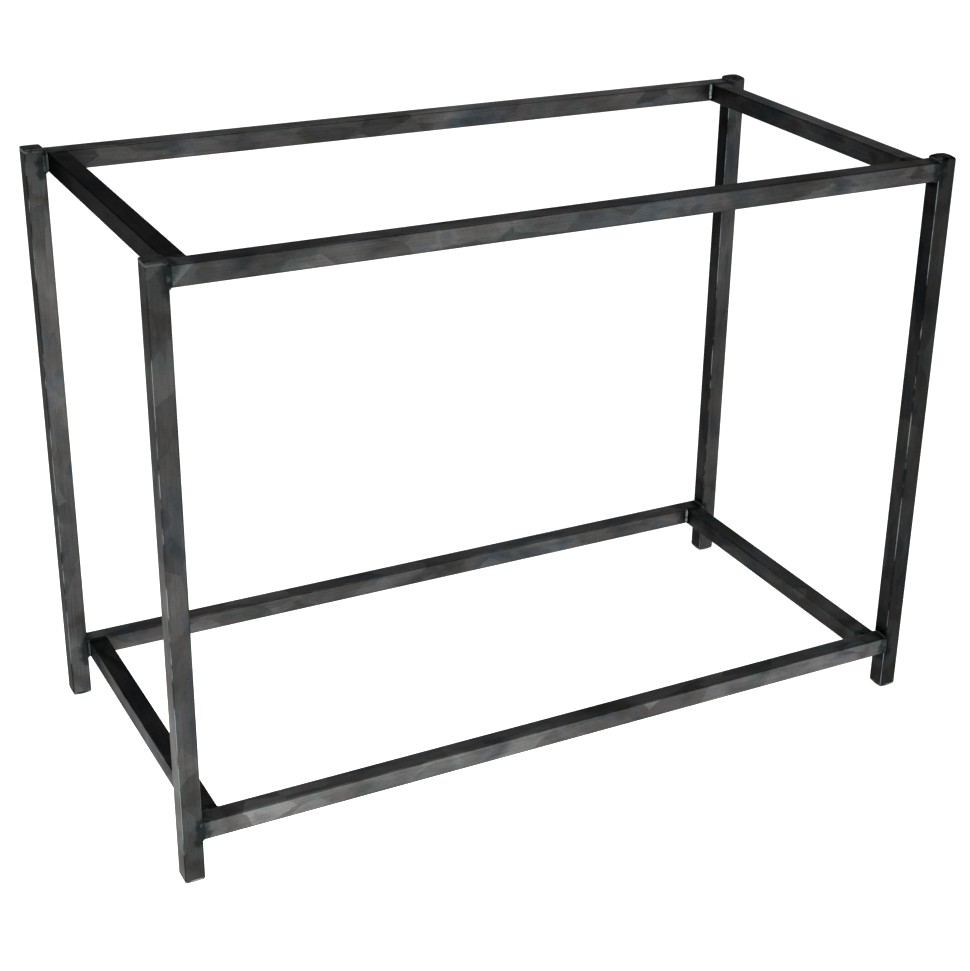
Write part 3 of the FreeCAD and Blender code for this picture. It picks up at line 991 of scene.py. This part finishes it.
class RACK_OT_feet(bpy.types.Operator):
    """Welds a ground foot plate under each post"""
    bl_idname = "rack.feet"
    bl_label = "Foot plates"

    def execute(self, context):
        make_plates(context, "foot_plate", -1)
        return {"FINISHED"}


# ------------------------------------------------------------------------------ tubes


def finish_tube(node, material):
    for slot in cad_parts[node].material_slots:
        slot.material = material


class RACK_OT_posts(bpy.types.Operator):
    """Gives the four posts their mill scale"""
    bl_idname = "rack.posts"
    bl_label = "Posts"

    def execute(self, context):
        steel = context.scene.rack_steel
        rings = [middle(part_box(f"{ring}_rail_front")).z for ring in RINGS]
        for number, (face, side) in enumerate(CORNERS):
            node = f"post_{face}_{side}"
            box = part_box(node)
            joints = [level - middle(box).z for level in rings]
            finish_tube(node, mill_scale_steel(
                f"mill_scale_{node}", "Z", box, joints, -SIDES[side], PAINTED_SIDE_LIGHT[node],
                steel.post_unevenness, seed=10 * number + 4))
        return {"FINISHED"}


class RACK_OT_rails(bpy.types.Operator):
    """Gives the eight rails their mill scale"""
    bl_idname = "rack.rails"
    bl_label = "Rails"

    def execute(self, context):
        steel = context.scene.rack_steel
        rails = [node for node in PAINTED_SIDE_LIGHT if "rail" in node]
        for number, node in enumerate(rails):
            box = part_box(node)
            axis = "Y" if "cross" in node else "X"
            half = (box[1].y - box[0].y if axis == "Y" else box[1].x - box[0].x) / 2
            finish_tube(node, mill_scale_steel(
                f"mill_scale_{node}", axis, box, (-half, half), 0, PAINTED_SIDE_LIGHT[node],
                steel.rail_unevenness, seed=10 * number + 53))
        return {"FINISHED"}


# ------------------------------------------------------------------------------ stage


# Each softbox's place, the point it aims at and the side of its square, in metres.
OVERHEAD = ((0, 0.3, 4.6), (0, 0, 0), 5.0)
FRONT_LEFT = ((-2.1, -2.3, 1.7), (-0.5, -0.6, 0), 1.6)

# How bright the studio is, by how far up a direction points: 0 is level and 1 straight up.
STUDIO_LIGHT = ((0.0, 1.0), (0.03, 0.75), (0.09, 0.33), (0.2, 0.17), (1.0, 0.12))

SENSOR_WIDTH = 36       # the camera's frame, in millimetres


class RACK_OT_stage(bpy.types.Operator):
    """Lays the floor, hangs the softboxes and sets up the camera"""
    bl_idname = "rack.stage"
    bl_label = "Stage"

    def execute(self, context):
        settings = context.scene.rack_stage
        deselect_all()
        bpy.ops.mesh.primitive_plane_add(size=settings.floor_size)
        floor = context.object
        floor.name = "studio_floor"
        floor.data.materials.append(floor_laminate())
        self.hang_softbox("overhead_softbox", *OVERHEAD, settings.softbox_power)
        self.hang_softbox("front_left_softbox", *FRONT_LEFT, settings.key_power)
        self.light_world(context.scene)
        self.set_camera(context.scene, settings)
        context.scene.view_settings.view_transform = "Standard"
        return {"FINISHED"}

    def hang_softbox(self, name, place, aim, size, power):
        deselect_all()
        bpy.ops.object.light_add(type="AREA", location=place)
        light = bpy.context.object
        light.name = name
        direction = Vector(aim) - Vector(place)
        light.rotation_euler = direction.to_track_quat("-Z", "Y").to_euler()
        light.data.size = size
        light.data.energy = power

    def light_world(self, scene):
        """A dim studio that pales towards the horizon."""
        world = bpy.data.worlds.new("dim_studio")
        world.use_nodes = True
        tree = world.node_tree
        upward = add(tree, "SeparateXYZ", {
            "Vector": add(tree, "TexCoord").outputs["Generated"]}).outputs["Z"]
        air = add(tree, "ValToRGB", {"Fac": upward}, stops=greys(STUDIO_LIGHT))
        set_inputs(tree, tree.nodes["Background"], {"Color": air})
        scene.world = world

    def set_camera(self, scene, settings):
        deselect_all()
        bpy.ops.object.camera_add(location=settings.camera_place)
        camera = bpy.context.object
        camera.name = "studio_camera"
        level = math.cos(settings.camera_elevation)
        view = Vector((
            -math.sin(settings.camera_azimuth) * level,
            math.cos(settings.camera_azimuth) * level,
            -math.sin(settings.camera_elevation)))
        upright = view.to_track_quat("-Z", "Y").to_matrix()
        roll = Matrix.Rotation(settings.camera_roll, 3, "Z")
        camera.rotation_euler = (upright @ roll).to_euler()
        camera.data.lens = settings.camera_lens
        camera.data.sensor_width = SENSOR_WIDTH
        camera.data.shift_x, camera.data.shift_y = settings.camera_shift
        scene.camera = camera


class RACK_PT_panel(bpy.types.Panel):
    """Lists the steps that finish the rack"""
    bl_idname = "RACK_PT_panel"
    bl_label = "Log Rack"
    bl_space_type = "VIEW_3D"
    bl_region_type = "UI"
    bl_category = "Log Rack"

    def draw(self, context):
        for operator in OPERATORS:
            self.layout.operator(operator.bl_idname)


SETTINGS = {
    "rack_steel": RackSteel, "rack_welds": RackWelds, "rack_plates": RackPlates,
    "rack_stage": RackStage,
}
OPERATORS = (
    RACK_OT_stage, RACK_OT_posts, RACK_OT_rails, RACK_OT_welds, RACK_OT_spatter,
    RACK_OT_caps, RACK_OT_feet,
)


def register():
    for item in (*SETTINGS.values(), *OPERATORS, RACK_PT_panel):
        bpy.utils.register_class(item)
    for name, group in SETTINGS.items():
        setattr(bpy.types.Scene, name, PointerProperty(type=group))


def unregister():
    for name in SETTINGS:
        delattr(bpy.types.Scene, name)
    for item in (RACK_PT_panel, *reversed(OPERATORS), *reversed(SETTINGS.values())):
        bpy.utils.unregister_class(item)


def main():
    register()
    bpy.ops.rack.stage()
    bpy.ops.rack.posts()
    bpy.ops.rack.rails()
    bpy.ops.rack.welds()
    bpy.ops.rack.spatter()
    bpy.ops.rack.caps()
    bpy.ops.rack.feet()


if __name__ == "__main__":
    main()
